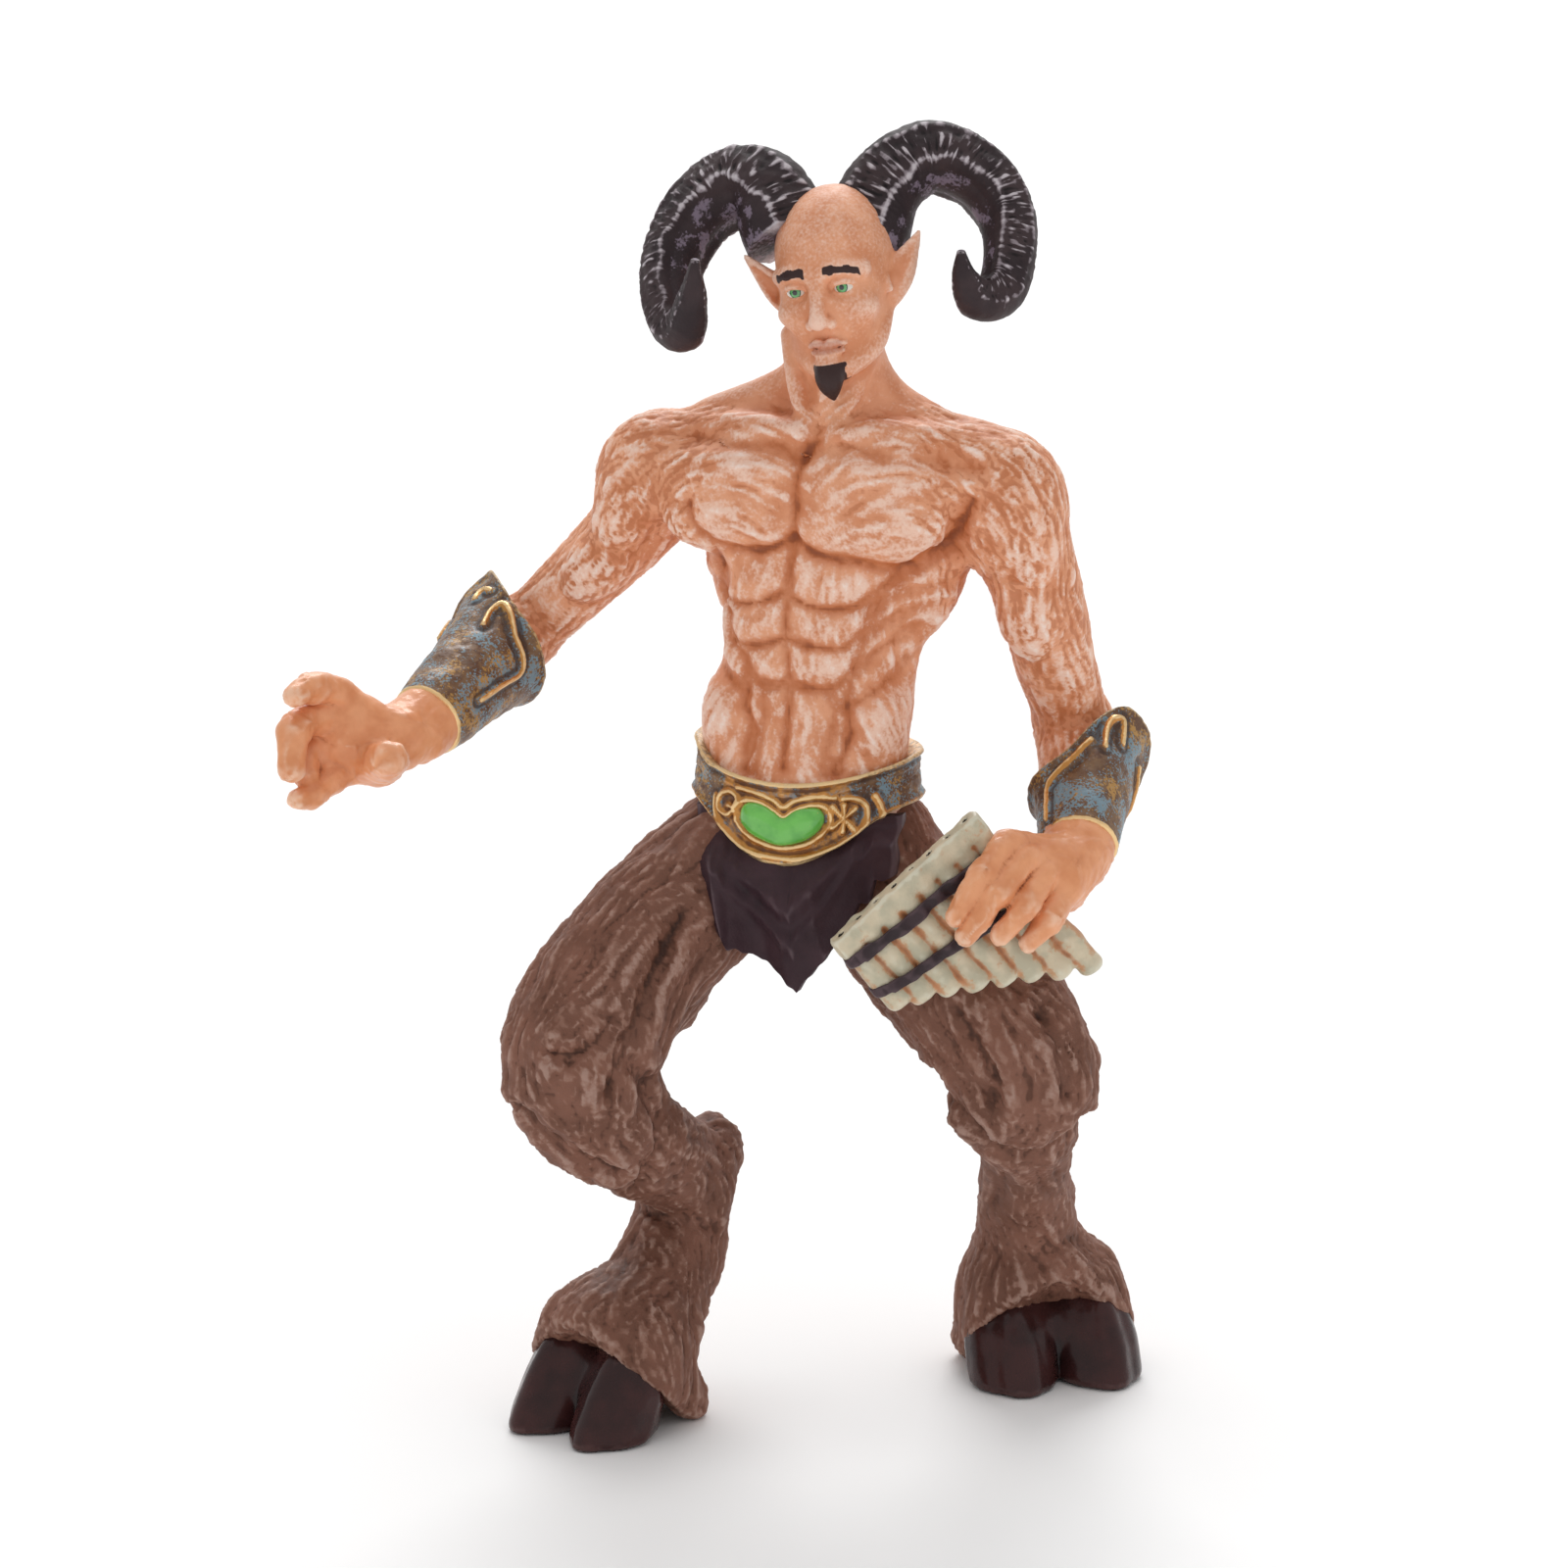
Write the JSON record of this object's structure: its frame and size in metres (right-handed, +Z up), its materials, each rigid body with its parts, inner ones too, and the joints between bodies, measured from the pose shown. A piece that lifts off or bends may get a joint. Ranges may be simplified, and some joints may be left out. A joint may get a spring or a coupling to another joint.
{
  "type": "satyr figurine",
  "caption": "Standing moulded figure of a bald, ram-horned satyr on goat legs, with flared bracers, a wide belt with an oval stone, a loincloth, and pan pipes in its left hand.",
  "frame": {"origin": "middle of the footprint of the whole figure, on the plane its hooves stand on", "axes": "+Z up through the figure, -Y towards the viewer whom it faces, +X to the viewer's right, the side of its left hand"},
  "size_m": [0.0847, 0.0401, 0.1269],
  "materials": {
    "painted_vinyl": "satin painted vinyl, washed dark in the recesses and dry-brushed pale on the high points",
    "fur_vinyl": "carved fur in matt brown paint, dry-brushed pinkish grey along the locks",
    "horn_vinyl": "carved horn in near-black brown paint, dry-brushed grey across the ridges",
    "hoof_vinyl": "glossy near-black brown paint",
    "bronze_vinyl": "bronze-coloured paint with gold edges and blue-green patches",
    "cloth_vinyl": "carved cloth in near-black paint",
    "pipes_vinyl": "grey-green paint with an orange-brown wash",
    "gem_vinyl": "glossy green paint with gold flecks"
  },
  "bodies": {
    "root": {"satyr_figure": "painted_vinyl"}
  },
  "joints": []
}
